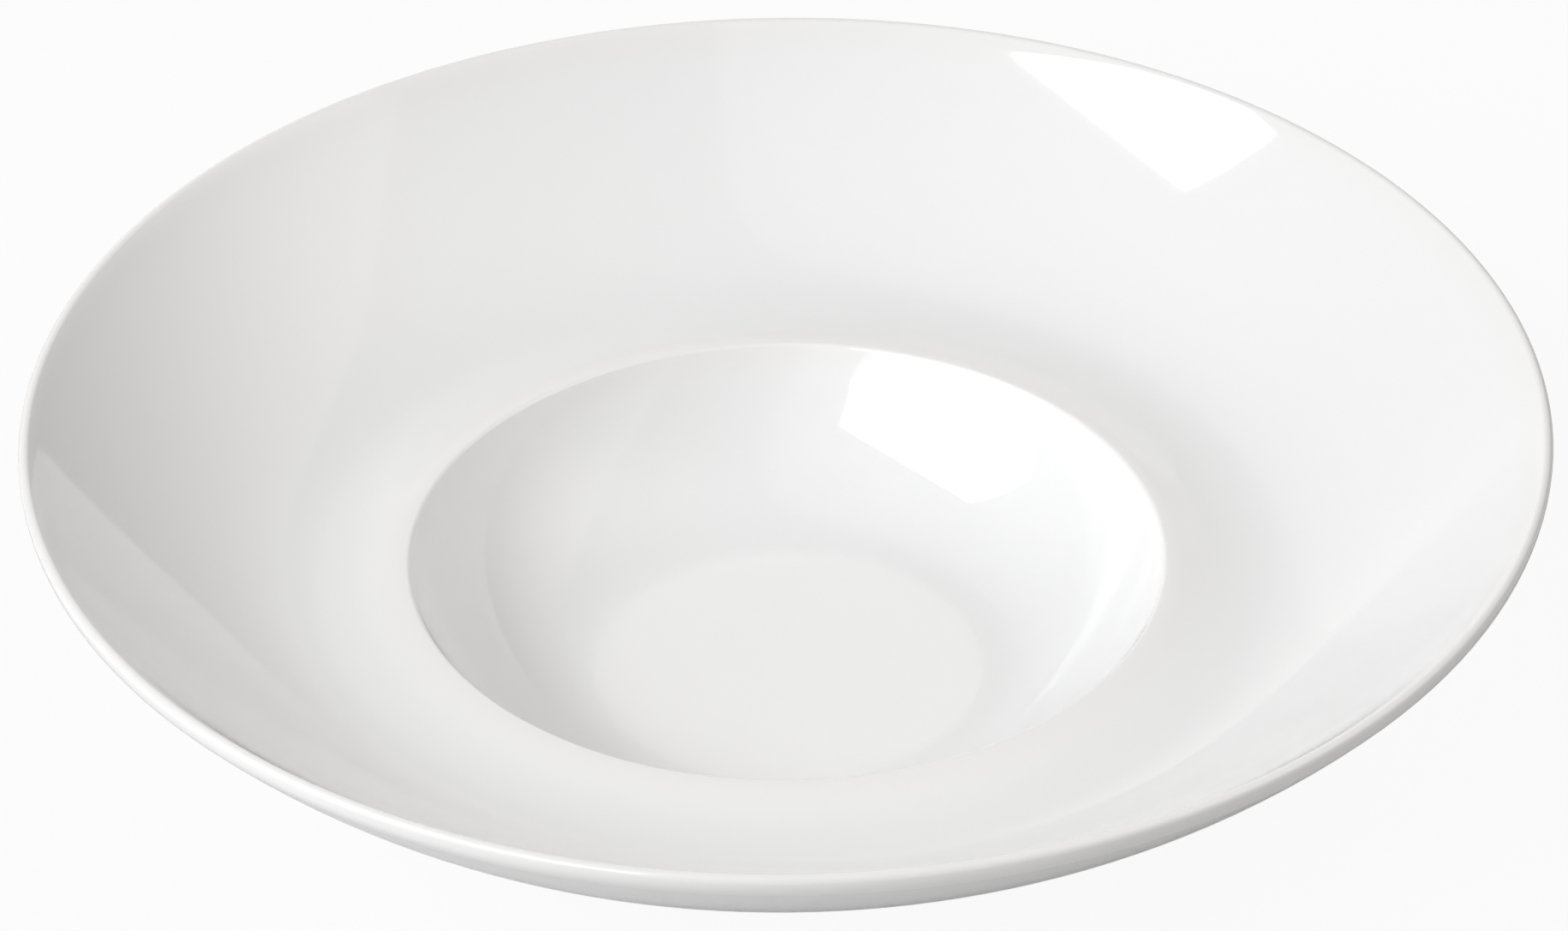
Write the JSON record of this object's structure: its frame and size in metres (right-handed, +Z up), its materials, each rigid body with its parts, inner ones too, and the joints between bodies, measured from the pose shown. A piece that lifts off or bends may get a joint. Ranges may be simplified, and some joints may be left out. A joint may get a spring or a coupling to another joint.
{
  "type": "deep plate",
  "caption": "Round deep plate of white glazed porcelain with a wide hollow rim, a raised edge round a deep well, a rounded lip and a foot ring.",
  "frame": {"origin": "on the plate's axis, on the plane that the foot ring stands on", "axes": "+Z up along the plate's axis of turning; the plate is round, so +X and +Y are free"},
  "size_m": [0.27, 0.27, 0.0634],
  "materials": {
    "biscuit": "bare vitrified porcelain, ground smooth on the bearing face",
    "white_glaze": "glossy clear glaze on white porcelain"
  },
  "bodies": {
    "root": {"porcelain_body": "biscuit", "glaze_coat": "white_glaze", "foot_recess_glaze": "white_glaze"}
  },
  "joints": []
}
